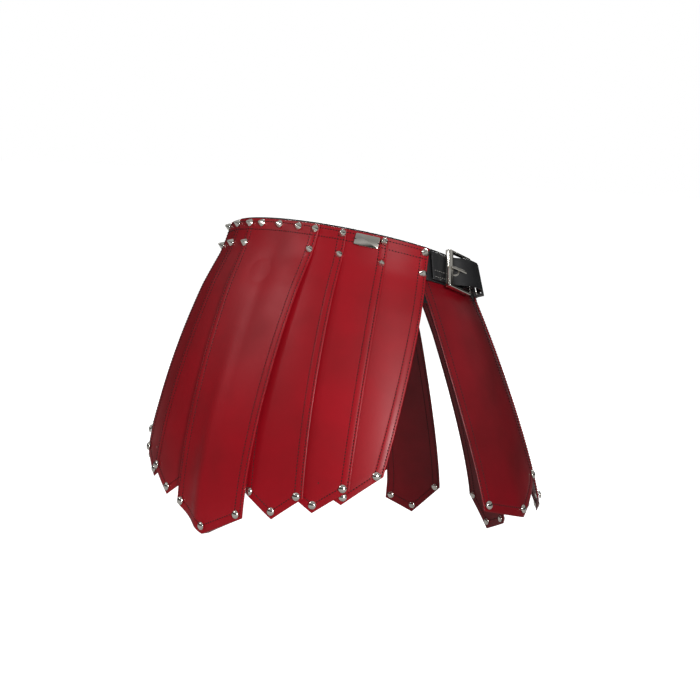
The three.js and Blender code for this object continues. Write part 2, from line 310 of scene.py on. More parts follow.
def only(piece: bpy.types.Object) -> None:
    """Selects one object and makes it active."""
    bpy.ops.object.select_all(action="DESELECT")
    piece.select_set(True)
    bpy.context.view_layer.objects.active = piece


def shade(piece: bpy.types.Object, angle: float = 40.0) -> None:
    """Shades smooth up to an angle in degrees."""
    only(piece)
    bpy.ops.object.shade_smooth_by_angle(angle=math.radians(angle))


def closed_grid(
    name: str,
    us: Sequence[float],
    vs: Sequence[float],
    outer: Callable[[float, float], Vector],
    inner: Callable[[float, float], Vector],
) -> bpy.types.Object:
    """A closed sheet from an outer and an inner grid of points.

    Args:
        name: the piece's name.
        us: positions across, increasing with the ring's angle.
        vs: positions down.
        outer: point on the outside at (u, v).
        inner: point on the inside at (u, v).

    Returns:
        The object.
    """
    columns, rows = len(us), len(vs)
    vertices = [side(u, v) for side in (outer, inner) for u in us for v in vs]
    size = columns * rows

    def at(i: int, j: int, layer: int) -> int:
        return layer * size + i * rows + j

    faces = []
    for i in range(columns - 1):
        for j in range(rows - 1):
            faces.append((at(i, j, 0), at(i, j + 1, 0), at(i + 1, j + 1, 0), at(i + 1, j, 0)))
            faces.append((at(i, j, 1), at(i + 1, j, 1), at(i + 1, j + 1, 1), at(i, j + 1, 1)))
        last = rows - 1
        faces.append((at(i, 0, 0), at(i + 1, 0, 0), at(i + 1, 0, 1), at(i, 0, 1)))
        faces.append((at(i, last, 0), at(i, last, 1), at(i + 1, last, 1), at(i + 1, last, 0)))
    for j in range(rows - 1):
        last = columns - 1
        faces.append((at(0, j, 0), at(0, j, 1), at(0, j + 1, 1), at(0, j + 1, 0)))
        faces.append((at(last, j, 0), at(last, j + 1, 0), at(last, j + 1, 1), at(last, j, 1)))
    return new_piece(name, vertices, faces)


def stitches(name: str, rows: Iterable[Sequence[Vector]], pitch: float, width: float) -> bpy.types.Object:
    """Rows of short thread stitches, each a slim lozenge, as one object.

    Args:
        name: the piece's name.
        rows: for each row, closely spaced pairs (point, outward normal).
        pitch: distance from one stitch to the next.
        width: thread width.

    Returns:
        The object.
    """
    vertices: list[Vector] = []
    faces: list[tuple[int, int, int]] = []
    for row in rows:
        travelled = 0.0
        wanted = pitch / 2
        for (p, n), (q, _) in zip(row, row[1:]):
            step = (q - p).length
            while step > 0 and travelled + step >= wanted:
                middle = p.lerp(q, (wanted - travelled) / step)
                along = (q - p).normalized()
                across = along.cross(n).normalized() * (width / 2)
                half = along * (pitch * 0.43)
                lift = n * (width * 0.45)
                base = len(vertices)
                vertices += [middle - half, middle + across, middle + half, middle - across]
                vertices += [middle + lift, middle - lift]
                for a, b in ((0, 1), (1, 2), (2, 3), (3, 0)):
                    faces.append((base + a, base + b, base + 4))
                    faces.append((base + b, base + a, base + 5))
                wanted += pitch
            travelled += step
    made = new_piece(name, vertices, faces)
    only(made)
    bpy.ops.object.mode_set(mode="EDIT")
    bpy.ops.mesh.select_all(action="SELECT")
    bpy.ops.mesh.normals_make_consistent(inside=False)
    bpy.ops.object.mode_set(mode="OBJECT")
    return made


def copy_to(master: bpy.types.Object, name: str, where: Matrix) -> bpy.types.Object:
    """Copies a finished piece, with its own mesh, to a place that goes into the mesh.

    Args:
        master: the piece modelled once at the origin.
        name: the copy's name.
        where: its place.

    Returns:
        The copy.
    """
    made = master.copy()
    made.data = master.data.copy()
    made.name = name
    made.data.transform(where)
    bpy.context.scene.collection.objects.link(made)
    return made


def finish_mesh(piece: bpy.types.Object, bevel: float, segments: int = 3) -> None:
    """Rounds a piece's edges and applies its place and modifiers.

    Args:
        piece: the object in object mode.
        bevel: width of the rounded edge.
        segments: how finely it is rounded.
    """
    only(piece)
    bpy.ops.object.transform_apply(location=True, rotation=True, scale=True)
    cut = piece.modifiers.new("rounded", "BEVEL")
    cut.width = bevel
    cut.segments = segments
    cut.limit_method = "ANGLE"
    cut.angle_limit = math.radians(28)
    bpy.ops.object.modifier_apply(modifier=cut.name)
    shade(piece)


# ---------------------------------------------------------------- straps


class Lap(enum.Enum):
    """How a strap lies on its neighbours."""

    OVER_BOTH = "over both"
    OVER_LARGER = "over the neighbour at the larger angle"
    OVER_SMALLER = "over the neighbour at the smaller angle"
    INSIDE_BELT = "inside the belt"


@dataclass
class Strap:
    """One hanging leather strap with folded hems, stitch rows and three hem studs."""

    node: str
    top: float
    hem: float
    top_width: float
    hem_width: float
    drop: float
    skew: float
    lap: Lap
    section_out: float = 0.0
    reach: float = 350 * MM
    bulge: float = 1.7
    first: float = 1.5 * MM
    sway: float = 0.0
    hollow: float = 0.0
    leather: float = 1.2 * MM
    gap: float = 0.4 * MM
    shingle: float = 6.8 * MM
    centre_raise: float = 3.0 * MM
    centre_edge: float = 5.0 * MM
    hem_flare: float = 95 * MM
    tip_drop: float = 27 * MM
    hinge_depth: float = 40 * MM
    stitch_rows: tuple[float, float] = (2.6 * MM, 10.0 * MM)
    end_row: float = 8.5 * MM
    end_slope: float = 0.85
    groove_depth: float = 0.28 * MM
    groove_half: float = 0.8 * MM
    hem_round: float = 0.9 * MM
    hem_drop: float = 0.45 * MM
    fold_width: float = 12 * MM
    fold_step: float = 2.5 * MM
    fold_height: float = 0.35 * MM
    fold_from: float = 90 * MM
    stud_inset: float = 7.5 * MM
    tip_inset: float = 9.5 * MM
    top_rows: tuple[float, float] = (5.0 * MM, 14.5 * MM)
    rear: bool = False
    also_replaces: tuple[str, ...] = ()

    @property
    def side(self) -> int:
        """The sign of the strap's angle; the centre panel counts as positive."""
        return -1 if self.top < 0 else 1

    def flare(self, depth: float) -> float:
        """How far the strap stands out from the waist at a depth."""
        start = RING.cone * min(depth, self.hinge_depth)
        run = min(1.0, max(0.0, (depth - self.hinge_depth) / (self.reach - self.hinge_depth)))
        return start + (self.hem_flare - RING.cone * self.hinge_depth) * (1 - (1 - run) ** self.bulge)

    def angle(self, u: float, depth: float) -> float:
        """The ring angle of a point on the strap.

        Args:
            u: position across, 0 to 1.
            depth: distance below the belt's top edge.

        Returns:
            The angle in radians.
        """
        share = depth / self.drop
        centre = math.radians(self.top + (self.hem - self.top) * share)
        width = self.top_width + (self.hem_width - self.top_width) * share
        return centre + (u - 0.5) * width / RING.rate(centre, self.flare(depth))

    def width(self, depth: float) -> float:
        """The strap's width at a depth."""
        return self.top_width + (self.hem_width - self.top_width) * depth / self.drop

    def raised(self, u: float, depth: float) -> float:
        """How far the strap's inside stands off the belt line, with the head pressed flat.

        Args:
            u: position across, 0 to 1.
            depth: distance below the belt's top edge.

        Returns:
            The distance, negative inside the belt line.
        """
        if self.lap is Lap.INSIDE_BELT:
            settle = min(1.0, max(0.0, (depth - self.hinge_depth) / (30 * MM)))
            return -7.2 * MM + 2.6 * MM * settle
        press = 0.42 + 0.58 * min(1.0, max(0.0, (depth - 25 * MM) / (55 * MM)))
        if self.lap is Lap.OVER_BOTH:
            return self.gap + (self.centre_raise + self.centre_edge * abs(2 * u - 1)) * press
        edge = u if self.lap is Lap.OVER_LARGER else 1 - u
        return self.gap + self.section_out + self.shingle * edge * press

    def relief(self, u: float, depth: float) -> float:
        """Small shape of the outer face: hem rounding, stitch grooves, soft fold and hollow.

        Args:
            u: position across, 0 to 1.
            depth: distance below the belt's top edge.

        Returns:
            The height to add to the face.
        """
        width = self.width(depth)
        from_edge = min(u, 1 - u) * width
        bottom = self.bottom(u)
        from_end = (bottom - depth) * self.end_slope
        near = min(from_edge, from_end)
        value = -self.hem_drop * max(0.0, 1 - near / self.hem_round) ** 2
        for line in self.stitch_rows:
            value -= self.groove_depth * math.exp(-(((from_edge - line) / self.groove_half) ** 2))
        value -= self.groove_depth * math.exp(-(((from_end - self.end_row) / self.groove_half) ** 2))
        fold = min(1.0, max(0.0, (self.fold_width - from_edge) / self.fold_step))
        value += self.fold_height * fold
        lower = max(0.0, (depth - self.fold_from) / (self.drop - self.fold_from))
        ridge = (u - 0.42) * self.side
        spread = 0.15 if ridge < 0 else 0.34
        value += self.sway * lower * math.exp(-abs(ridge / spread) ** 1.5)
        value -= self.hollow * math.exp(-(((depth - 62 * MM) / (20 * MM)) ** 2) - ((u - 0.42) / 0.2) ** 2)
        return value

    def bottom(self, u: float) -> float:
        """Depth of the lower edge across the strap."""
        across = 2 * u - 1
        return self.drop - self.tip_drop * abs(across) - self.skew * self.side * across

    def surface(self, u: float, depth: float, lift: float) -> Vector:
        """A point on the strap.

        Args:
            u: position across, 0 to 1.
            depth: distance below the belt's top edge.
            lift: distance out from the strap's inside face.

        Returns:
            The point in the row frame.
        """
        share = depth / self.drop
        edge = RING.top(self.angle(u, 0))
        middle = RING.top(math.radians(self.top))
        out = self.flare(depth) + self.raised(u, depth) + lift
        return RING.point(self.angle(u, depth), out, edge * (1 - share) + middle * share - depth)

    def seat(self, u: float, depth: float) -> Matrix:
        """A seat on the outer face: X across, Y up the strap, Z out.

        Args:
            u: position across, 0 to 1.
            depth: distance below the belt's top edge.

        Returns:
            The seat's matrix.
        """
        point = self.surface(u, depth, self.leather)
        across = (self.surface(min(1, u + 0.01), depth, self.leather) - point)
        if across.length == 0:
            across = point - self.surface(u - 0.01, depth, self.leather)
        up = self.surface(u, depth - 2 * MM, self.leather) - point
        away = across.cross(up).normalized()
        along = up.cross(away).normalized()
        made = Matrix((along, away.cross(along), away)).transposed().to_4x4()
        made.translation = point
        return made

    def back_seat(self, u: float, depth: float) -> Matrix:
        """A seat on the inner face, with Z towards the wearer."""
        flipped = self.seat(u, depth) @ Matrix.Rotation(math.pi, 4, "Y")
        flipped.translation = self.surface(u, depth, 0)
        return flipped

    def columns(self) -> list[float]:
        """Positions across, close together at the hems.

        Returns:
            The positions, 0 to 1.
        """
        near = [d * MM / self.top_width for d in (0, 0.5, 1, 1.8, 2.6, 3.4, 5, 7, 9.2, 10, 10.8, 12.4)]
        middle = [0.5 + (0.5 - near[-1]) * (k / 7 - 1) for k in range(1, 7)]
        half = near + middle
        return half + [0.5] + [1 - u for u in reversed(half)]

    def rows(self) -> list[float]:
        """Positions down, close together at the lower end.

        Returns:
            The positions, 0 to 1.
        """
        length = self.drop - self.first
        near = [1 - d * MM / length for d in (0, 0.6, 1.4, 3.5, 6.5, 8.4, 9.6, 10.4, 11.4, 13)]
        count = 54
        return [near[-1] * k / count for k in range(count)] + near[::-1]

    def build(self) -> bpy.types.Object:
        """Makes the strap's closed leather mesh.

        Returns:
            The leather.
        """

        def face(lift: float, relief: bool) -> Callable[[float, float], Vector]:
            def point(u: float, v: float) -> Vector:
                depth = self.first + (self.bottom(u) - self.first) * v
                return self.surface(u, depth, lift + (self.relief(u, depth) if relief else 0.0))

            return point

        made = closed_grid(f"{self.node}_leather", self.columns(), self.rows(),
                           face(self.leather, True), face(0.0, False))
        shade(made, 50)
        return made

    def stitch_points(self, path: Iterable[tuple[float, float]]) -> list[list[tuple[Vector, Vector]]]:
        """Rows of points and normals, on both faces of a rear strap.

        Args:
            path: positions as (u, depth).

        Returns:
            A row for each face, as (point, outward normal).
        """
        found, back = [], []
        for u, depth in path:
            seat = self.seat(u, depth)
            lift = self.relief(u, depth) + 0.2 * MM
            found.append((seat.translation + seat.col[2].to_3d() * lift, seat.col[2].to_3d()))
            if self.rear:
                back.append((self.surface(u, depth, -0.2 * MM), -seat.col[2].to_3d()))
        return [found, back] if back else [found]

    def thread(self) -> bpy.types.Object:
        """Makes the hem, end and top stitch rows.

        Returns:
            The thread, as one object.
        """
        rows = []
        steps = 60
        for inset in self.stitch_rows:
            for edge in (0, 1):
                path = []
                for k in range(steps + 1):
                    start = self.first + 4 * MM
                    u = abs(edge - inset / self.top_width)
                    stop = self.bottom(u) - (self.end_row if inset > 5 * MM else inset) / self.end_slope
                    depth = start + (stop - start) * k / steps
                    path.append((abs(edge - inset / self.width(depth)), depth))
                rows += self.stitch_points(path)
        inset_u = self.stitch_rows[1] / self.hem_width
        across = [inset_u + (1 - 2 * inset_u) * k / 24 for k in range(25)]
        rows += self.stitch_points((u, self.bottom(u) - self.end_row / self.end_slope) for u in across)
        if self.lap is not Lap.INSIDE_BELT:
            for depth in self.top_rows:
                rows += self.stitch_points((0.02 + 0.96 * k / 24, depth) for k in range(25))
        return stitches(f"{self.node}_thread", rows, 3.6 * MM, 1.5 * MM)

    def join(self, piece: bpy.types.Object) -> None:
        """Bakes a piece's place into its mesh; the hinge line's two points are worked out but not used."""
        start = self.surface(0.5, self.hinge_depth - 6 * MM, 0)
        end = self.surface(0.5, self.hinge_depth + 22 * MM, 0)
        tuple(start)
        tuple(end)
        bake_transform(piece)

    def add(self, stud: bpy.types.Object) -> None:
        """Builds and dresses the whole strap and joins its studs to the strap's node.

        Args:
            stud: the round hem stud, modelled once at the origin.
        """
        leather = self.build()
        # Hip panels and rear straps take the red leather with painted shade.
        (RED_LEATHER_PAINTED_SHADE if self.rear else RED_LEATHER).dress(leather, Slot.RED)
        thread = self.thread()
        # Stitch rows take the dark red thread darkened with painted shade.
        THREAD_PAINTED_SHADE.dress(thread, Slot.RED)
        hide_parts(self.node, *self.also_replaces)
        for piece in (leather, thread):
            self.join(piece)
        inset_u = self.stud_inset / self.hem_width
        spots = {"tip": (0.5, self.bottom(0.5) - self.tip_inset)}
        for key, u in (("a", inset_u), ("b", 1 - inset_u)):
            spots[key] = (u, self.bottom(u) - self.stud_inset)
        for key, (u, depth) in spots.items():
            lift = Matrix.Translation((0, 0, self.relief(u, depth) - 0.2 * MM))
            made = copy_to(stud, f"{self.node}_stud_{key}", self.seat(u, depth) @ lift)
            NICKEL.dress(made, Slot.NICKEL)
            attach(made, self.node)
            back = self.back_seat(u, depth) @ Matrix.Diagonal((0.9, 0.9, 0.6, 1))
            cap = copy_to(stud, f"{self.node}_cap_{key}", back)
            NICKEL.dress(cap, Slot.NICKEL)
            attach(cap, self.node)
        width, length, area = self.cut()
        LOG.info("strap %s: cut %.0f by %.0f mm", self.node, width / MM, length / MM)

    def cut(self) -> tuple[float, float, float]:
        """The size that the leather was cut to.

        Returns:
            Its flat width, length and area.
        """
        line = [self.surface(0.5, self.first + (self.drop - self.first) * k / 40, 0) for k in range(41)]
        length = sum((q - p).length for p, q in zip(line, line[1:]))
        corners = self.tip_drop * self.hem_width / 2
        area = length * (self.width(self.first) + self.hem_width) / 2 - corners
        return max(self.top_width, self.hem_width), length, area


def main_straps() -> list[Strap]:
    """The straps of the main section, centre first.

    Returns:
        The seven straps.
    """
    table = {
        "1": (18.5, 22, 80, 78, 338, 2),
        "2": (36.5, 34, 80, 80, 320, 3),
        "3": (55.5, 42, 80, 76, 300, 9),
    }
    made = [Strap("main_strap_centre", 0, 0, 118 * MM, 108 * MM, 370 * MM, 0, Lap.OVER_BOTH,
                  sway=12 * MM, hollow=2.0 * MM, also_replaces=("main_strap_heads",))]
    for label, side in SIDES.items():
        lap = Lap.OVER_LARGER if side > 0 else Lap.OVER_SMALLER
        for rank, (top, hem, wide, low, drop, skew) in table.items():
            made.append(Strap(f"main_strap_{label}_{rank}", side * top, side * hem, wide * MM, low * MM,
                              drop * MM, skew * MM, lap))
    return made


def rear_straps() -> list[Strap]:
    """The hip panels and the rear straps.

    Returns:
        The eight straps.
    """
    table = {"1": (128.5, 135, 60, 72, 300, 4), "2": (147.5, 149, 74, 76, 312, 8),
             "3": (166, 164.5, 70, 80, 338, 12)}
    fall = {"reach": 300 * MM, "bulge": 1.25, "hem_flare": 110 * MM, "rear": True}
    made = []
    for label, side in SIDES.items():
        lap = Lap.OVER_LARGER if side > 0 else Lap.OVER_SMALLER
        made.append(Strap(f"hip_panel_{label}", side * 90, side * 96.5, 106 * MM, 134 * MM, 298 * MM, 14 * MM,
                          Lap.INSIDE_BELT, first=27 * MM, sway=3 * MM, **fall))
        for rank, (top, hem, wide, low, drop, skew) in table.items():
            heads = (f"rear_strap_heads_{label}",) if rank == "3" else ()
            made.append(Strap(f"rear_strap_{label}_{rank}", side * top, side * hem, wide * MM, low * MM,
                              drop * MM, skew * MM, lap, section_out=-2.6 * MM, also_replaces=heads, **fall))
    return made


# ---------------------------------------------------------------- studs


@dataclass
class Studs:
    """Round hem studs and pointed waist studs, each modelled once."""

    round_radius: float = 5.2 * MM
    round_height: float = 3.0 * MM
    cone_radius: float = 4.8 * MM
    cone_height: float = 7.4 * MM
    cone_skirt: float = 1.3 * MM
    row_1: float = 7 * MM
    row_2: float = 31 * MM
    inset: float = 5 * MM

    def round_stud(self) -> bpy.types.Object:
        """A low dome with a flat rim, its back on the origin plane.

        Returns:
            The master stud.
        """
        bpy.ops.object.select_all(action="DESELECT")
        bpy.ops.mesh.primitive_uv_sphere_add(segments=20, ring_count=10, radius=self.round_radius)
        made = bpy.context.object
        made.name = "round_stud_master"
        bpy.ops.object.mode_set(mode="EDIT")
        bpy.ops.mesh.select_all(action="SELECT")
        bpy.ops.mesh.bisect(plane_co=(0, 0, 0.0), plane_no=(0, 0, 1), clear_inner=True, use_fill=True)
        bpy.ops.mesh.select_all(action="SELECT")
        bpy.ops.transform.resize(value=(1, 1, self.round_height / self.round_radius))
        bpy.ops.object.mode_set(mode="OBJECT")
        finish_mesh(made, 0.35 * MM, 2)
        return made

    def cone_stud(self) -> bpy.types.Object:
        """A pointed stud on a short round skirt, its back on the origin plane.

        Returns:
            The master stud.
        """
        bpy.ops.object.select_all(action="DESELECT")
        cone = self.cone_height - self.cone_skirt
        bpy.ops.mesh.primitive_cone_add(vertices=28, radius1=self.cone_radius, radius2=0.5 * MM, depth=cone,
                                        location=(0, 0, self.cone_skirt + cone / 2))
        made = bpy.context.object
        made.name = "cone_stud_master"
        bpy.ops.object.transform_apply(location=True)
        bpy.ops.object.mode_set(mode="EDIT")
        bpy.ops.mesh.select_mode(type="FACE")
        bpy.ops.mesh.select_all(action="DESELECT")
        bpy.ops.object.mode_set(mode="OBJECT")
        for face in made.data.polygons:
            face.select = face.normal.z < -0.9
        bpy.ops.object.mode_set(mode="EDIT")
        bpy.ops.mesh.extrude_region_move(TRANSFORM_OT_translate={"value": (0, 0, -self.cone_skirt)})
        bpy.ops.object.mode_set(mode="OBJECT")
        finish_mesh(made, 0.3 * MM, 2)
        return made

    def waist(self, master: bpy.types.Object, straps: dict[str, Strap]) -> None:
        """Sets the pointed studs along both belts.

        Args:
            master: the pointed stud.
            straps: every strap by its node.
        """
        centre = straps["main_strap_centre"]
        for index, degrees in enumerate((-10.5, 0, 10.5)):
            u = 0.5 + math.radians(degrees) * RING.rate(math.radians(degrees), 0) / centre.top_width
            self.one(master, f"waist_stud_centre_{index + 1}", centre.seat(u, self.row_1))
        for label, side in SIDES.items():
            for rank in ("centre", "1", "2", "3"):
                strap = centre if rank == "centre" else straps[f"main_strap_{label}_{rank}"]
                edge = self.inset / strap.top_width
                u = 1 - edge if side > 0 else edge
                for row, depth in (("upper", self.row_1), ("lower", self.row_2)):
                    self.one(master, f"waist_stud_{row}_{label}_{rank}", strap.seat(u, depth))
            for rank in ("1", "2", "3"):
                strap = straps[f"rear_strap_{label}_{rank}"]
                for end, u in (("a", 0.16), ("b", 0.86)):
                    if rank == "1" or end == "b":
                        place = u if side > 0 else 1 - u
                        for row, depth in (("upper", self.row_1), ("lower", self.row_2)):
                            self.one(master, f"rear_stud_{row}_{label}_{rank}{end}",
                                     strap.seat(place, depth))

    def one(self, master: bpy.types.Object, name: str, seat: Matrix) -> None:
        """Sets one pointed stud, in place of the CAD stud of that name where there is one.

        Args:
            master: the pointed stud.
            name: the stud's name.
            seat: its place.
        """
        made = copy_to(master, f"{name}_cone", seat)
        NICKEL.dress(made, Slot.NICKEL)
        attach(made, "root")
        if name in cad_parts:
            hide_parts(name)


# ---------------------------------------------------------------- belts and buckles


@dataclass
class Belts:
    """The two belt leathers, the billets and their stitch rows."""

    main_end: float = 73.0
    rear_start: float = 68.0
    gap: float = 0.4 * MM
    billet_tall: float = 32 * MM
    billet_thick: float = 2.4 * MM
    billet_start: float = 73.6
    billet_end: float = 115.5
    rise_from: float = 83.0
    rise_to: float = 96.0
    rise: float = 13 * MM
    fall_from: float = 103.5
    fall_to: float = 108.0
    rest: float = 4 * MM

    def rise_at(self, angle: float) -> float:
        """How far a billet stands out where it passes over the hinge bar and comes back down."""

        def share(start: float, stop: float) -> float:
            run = min(1.0, max(0.0, (abs(math.degrees(angle)) - start) / (stop - start)))
            return run * run * (3 - 2 * run)

        climb = self.rise * share(self.rise_from, self.rise_to)
        return climb - (self.rise - self.rest) * share(self.fall_from, self.fall_to)

    def band(self, name: str, start: float, stop: float, low: float, thick: float, top: float,
             bottom: float, climb: Callable[[float], float] = lambda angle: 0.0) -> bpy.types.Object:
        """A leather band round the waist.

        Args:
            name: the piece's name.
            start: first angle in degrees.
            stop: last angle in degrees.
            low: distance of the inner face from the belt line.
            thick: thickness.
            top: depth of the upper edge.
            bottom: depth of the lower edge.
            climb: extra distance out at an angle.

        Returns:
            The band, with rounded edges.
        """
        count = max(8, int(abs(stop - start) / 1.4))
        us = [math.radians(start + (stop - start) * k / count) for k in range(count + 1)]
        if stop < start:
            us.reverse()
        vs = [top + (bottom - top) * k / 8 for k in range(9)]

        def face(lift: float) -> Callable[[float, float], Vector]:
            def point(angle: float, depth: float) -> Vector:
                out = low + lift + climb(angle) + RING.cone * depth
                return RING.point(angle, out, RING.top(angle) - depth + RING.cone * climb(angle))

            return point

        made = closed_grid(name, us, vs, face(thick), face(0.0))
        finish_mesh(made, 0.55 * MM, 2)
        BLACK_LEATHER.dress(made, Slot.BLACK)
        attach(made, "root")
        return made

    def billet_seat(self, angle: float) -> Matrix:
        """A seat on the climbing outer face of a billet, at the middle of its height.

        Args:
            angle: where on the ring, in radians.

        Returns:
            The seat's matrix.
        """

        def point(at: float, depth: float) -> Vector:
            out = self.gap + self.billet_thick + self.rise_at(at) + RING.cone * depth
            return RING.point(at, out, RING.top(at) - depth + RING.cone * self.rise_at(at))

        middle = RING.belt_height / 2
        along = (point(angle + 0.03, middle) - point(angle - 0.03, middle)).normalized()
        up = point(angle, middle - 5 * MM) - point(angle, middle + 5 * MM)
        away = along.cross(up).normalized()
        made = Matrix((along, away.cross(along), away)).transposed().to_4x4()
        made.translation = point(angle, middle)
        return made

    def rows(self, name: str, start: float, stop: float, out: float, depths: Sequence[float]) -> None:
        """Pale stitch rows on the outside of a belt.

        Args:
            name: the piece's name.
            start: first angle in degrees.
            stop: last angle in degrees.
            out: distance out from the belt's face.
            depths: depth of each row.
        """
        lines = []
        for depth in depths:
            line = []
            for k in range(61):
                angle = math.radians(start + (stop - start) * k / 60)
                seat = RING.seat(angle, out + self.rise_at(angle), depth)
                line.append((seat.translation, seat.col[2].to_3d()))
            lines.append(line)
        made = stitches(name, lines, 3.0 * MM, 0.7 * MM)
        PALE_THREAD.dress(made, Slot.BLACK)
        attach(made, "root")

    def build(self) -> None:
        """Makes the belts, billets and rows."""
        height = RING.belt_height
        thick = RING.belt_thick
        main = self.band("main_belt_leather", -self.main_end, self.main_end, -thick, thick, 0, height)
        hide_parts("main_belt")
        rear = self.band("rear_belt_leather", self.rear_start, 360 - self.rear_start,
                         -2 * thick - self.gap, thick, 0, height)
        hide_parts("rear_belt")
        top = (height - self.billet_tall) / 2
        for label, side in SIDES.items():
            billet = self.band(f"billet_{label}_leather", side * self.billet_start, side * self.billet_end,
                               self.gap, self.billet_thick, top, top + self.billet_tall, self.rise_at)
            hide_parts(f"billet_{label}")
            self.rows(f"billet_{label}_thread", side * (self.billet_start + 1), side * (self.rise_from - 2),
                      self.gap + self.billet_thick + 0.1 * MM, (24 * MM, 31 * MM))


@dataclass
class Buckle:
    """Buckle frame and prong of one hip, built flat and set on the belt, and the billet's eyelet; the chape
    and keeper stay as CAD nodes.
    """

    side: int
    label: str
    angle: float = 89.5
    long: float = 44 * MM
    tall: float = 46 * MM
    rail: float = 2.8 * MM
    bar: float = 7.5 * MM
    low: float = 0.9 * MM
    thick: float = 3.8 * MM
    seat_out: float = 3 * MM
    eyelet_angle: float = 87.0

    @property
    def seat(self) -> Matrix:
        """The buckle's seat on the belt."""
        return RING.seat(math.radians(self.side * self.angle), self.seat_out, RING.belt_height / 2)

    def place(self, piece: bpy.types.Object) -> None:
        """Moves a flat-built piece's mesh to the hip."""
        piece.data.transform(self.seat)

    def frame_ring(self) -> bpy.types.Object:
        """The rectangular frame with a heavy rounded front bar.

        Returns:
            The frame.
        """
        bpy.ops.object.select_all(action="DESELECT")
        middle = self.low + self.thick / 2
        bpy.ops.mesh.primitive_cube_add(size=1, location=(0, 0, middle))
        made = bpy.context.object
        made.name = f"buckle_frame_{self.label}_metal"
        made.scale = (self.long, self.tall, self.thick)
        bpy.ops.object.transform_apply(location=True, scale=True)
        bpy.ops.object.mode_set(mode="EDIT")
        bpy.ops.mesh.select_mode(type="FACE")
        bpy.ops.mesh.select_all(action="DESELECT")
        bpy.ops.object.mode_set(mode="OBJECT")
        for face in made.data.polygons:
            face.select = abs(face.normal.z) > 0.9
        bpy.ops.object.mode_set(mode="EDIT")
        bpy.ops.mesh.inset(thickness=self.rail, use_even_offset=True)
        bpy.ops.mesh.bridge_edge_loops()
        bpy.ops.object.mode_set(mode="OBJECT")
        front = -self.side
        for vertex in made.data.vertices:
            inside = abs(vertex.co.x) < self.long / 2 - 1 * MM
            if vertex.co.x * front > 0:
                if inside:
                    vertex.co.x -= front * (self.bar - self.rail)
                vertex.co.z += 2.7 * MM if vertex.co.z > middle else -0.8 * MM
        finish_mesh(made, 1.3 * MM, 4)
        return made

    def prong(self) -> bpy.types.Object:
        """The prong, from a loop on the hinge bar to a tip on the front bar.

        Returns:
            The prong.
        """
        over = self.low + self.thick
        reach = self.long / 2 - 3 * MM
        bpy.ops.object.select_all(action="DESELECT")
        length = reach + self.long / 2 + 1 * MM
        bpy.ops.mesh.primitive_cylinder_add(vertices=16, radius=2.0 * MM, depth=length,
                                            rotation=(0, math.radians(90), 0), end_fill_type="NGON")
        made = bpy.context.object
        made.name = f"buckle_prong_{self.label}_metal"
        bpy.ops.object.transform_apply(rotation=True)
        bpy.ops.object.mode_set(mode="EDIT")
        for k in range(1, 12):
            x = -self.long / 2 + k * self.long / 12
            bpy.ops.mesh.select_all(action="SELECT")
            bpy.ops.mesh.bisect(plane_co=(x, 0, 0), plane_no=(1, 0, 0))
        bpy.ops.object.mode_set(mode="OBJECT")
        xs = [v.co.x for v in made.data.vertices]
        least, most = min(xs), max(xs)
        for vertex in made.data.vertices:
            share = (vertex.co.x - least) / (most - least)
            slim = 0.55 + 0.45 * min(1.0, share * 2.2)
            hump = math.sin(math.pi * min(1.0, share * 1.15)) * 2.0 * MM
            height = over + 2.2 * MM + (1 - share) * 2.0 * MM + hump
            x, y, z = vertex.co
            vertex.co = Vector((x * self.side, y * slim, z * slim * 0.8 + height))
        only(made)
        bpy.ops.object.mode_set(mode="EDIT")
        bpy.ops.mesh.select_all(action="SELECT")
        bpy.ops.mesh.normals_make_consistent(inside=False)
        bpy.ops.object.mode_set(mode="OBJECT")
        finish_mesh(made, 0.3 * MM, 2)
        return made

    def eyelet(self) -> bpy.types.Object:
        """The nickel ring that lines the prong hole.

        Returns:
            The ring, in place.
        """
        bpy.ops.object.select_all(action="DESELECT")
        bpy.ops.mesh.primitive_torus_add(major_segments=36, minor_segments=10, major_radius=4.9 * MM,
                                         minor_radius=1.1 * MM)
        made = bpy.context.object
        made.name = f"billet_eyelet_{self.label}"
        bpy.ops.object.mode_set(mode="EDIT")
        bpy.ops.mesh.select_all(action="SELECT")
        bpy.ops.transform.resize(value=(1, 1, 0.7))
        bpy.ops.object.mode_set(mode="OBJECT")
        shade(made, 60)
        made.data.transform(Belts().billet_seat(math.radians(self.side * self.eyelet_angle)))
        return made

    def build(self) -> None:
        """Makes and joins the buckle's pieces."""
        ring = self.frame_ring()
        self.place(ring)
        NICKEL.dress(ring, Slot.NICKEL)
        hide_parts(f"buckle_frame_{self.label}")
        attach(ring, f"buckle_frame_{self.label}")
        prong = self.prong()
        self.place(prong)
        NICKEL.dress(prong, Slot.NICKEL)
        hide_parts(f"buckle_prong_{self.label}")
        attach(prong, f"buckle_prong_{self.label}")
        eyelet = self.eyelet()
        NICKEL.dress(eyelet, Slot.NICKEL)
        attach(eyelet, "root")


